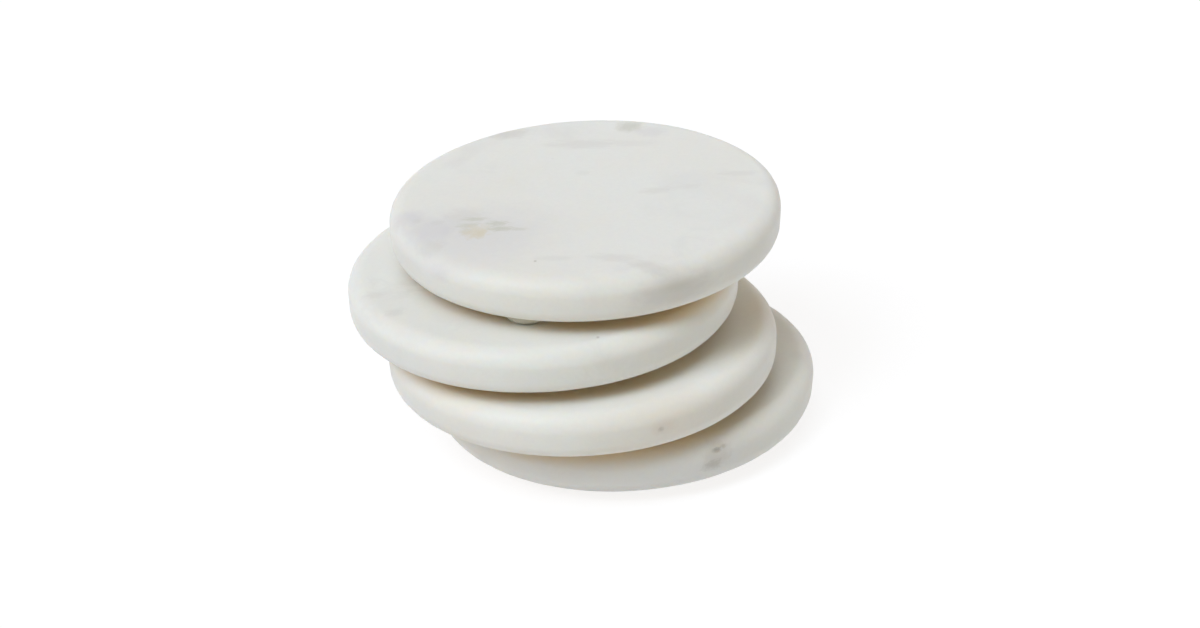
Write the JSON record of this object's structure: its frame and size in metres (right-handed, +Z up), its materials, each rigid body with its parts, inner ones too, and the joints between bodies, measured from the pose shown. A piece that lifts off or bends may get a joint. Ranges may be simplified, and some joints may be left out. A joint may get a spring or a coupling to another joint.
{
  "type": "drink coaster set",
  "caption": "Round polished marble drink coasters with soft rims and clear stick-on feet, resting in a loose offset pile.",
  "frame": {"origin": "on the table, under the middle of the pile's outline", "axes": "+Z up; +Y away from the front, the way the picture looks at the pile; +X to its right"},
  "size_m": [0.1192, 0.111, 0.0612],
  "materials": {
    "bottom_marble": "honed and lightly polished white marble",
    "lower_marble": "honed and lightly polished white marble",
    "upper_marble": "honed and lightly polished white marble",
    "top_marble": "honed and lightly polished white marble",
    "clear_foot": "clear soft polyurethane",
    "clear_adhesive": "clear acrylic adhesive"
  },
  "bodies": {
    "bottom_coaster": {"bottom_stone": "bottom_marble", "bottom_foot_1": "clear_foot", "bottom_foot_2": "clear_foot", "bottom_foot_3": "clear_foot", "bottom_foot_4": "clear_foot", "bottom_adhesive_1": "clear_adhesive", "bottom_adhesive_2": "clear_adhesive", "bottom_adhesive_3": "clear_adhesive", "bottom_adhesive_4": "clear_adhesive"},
    "lower_coaster": {"lower_stone": "lower_marble", "lower_foot_1": "clear_foot", "lower_foot_2": "clear_foot", "lower_foot_3": "clear_foot", "lower_foot_4": "clear_foot", "lower_adhesive_1": "clear_adhesive", "lower_adhesive_2": "clear_adhesive", "lower_adhesive_3": "clear_adhesive", "lower_adhesive_4": "clear_adhesive"},
    "upper_coaster": {"upper_stone": "upper_marble", "upper_foot_1": "clear_foot", "upper_foot_2": "clear_foot", "upper_foot_3": "clear_foot", "upper_foot_4": "clear_foot", "upper_adhesive_1": "clear_adhesive", "upper_adhesive_2": "clear_adhesive", "upper_adhesive_3": "clear_adhesive", "upper_adhesive_4": "clear_adhesive"},
    "top_coaster": {"top_stone": "top_marble", "top_foot_1": "clear_foot", "top_foot_2": "clear_foot", "top_foot_3": "clear_foot", "top_foot_4": "clear_foot", "top_adhesive_1": "clear_adhesive", "top_adhesive_2": "clear_adhesive", "top_adhesive_3": "clear_adhesive", "top_adhesive_4": "clear_adhesive"}
  },
  "joints": [
    {"name": "lower_lift", "type": "slide", "parent": "bottom_coaster", "child": "lower_coaster", "axis": [0, 0, 1], "range_m": [0, 0.08]},
    {"name": "upper_lift", "type": "slide", "parent": "lower_coaster", "child": "upper_coaster", "axis": [0, 0, 1], "range_m": [0, 0.08]},
    {"name": "top_lift", "type": "slide", "parent": "upper_coaster", "child": "top_coaster", "axis": [0, 0, 1], "range_m": [0, 0.08]}
  ]
}
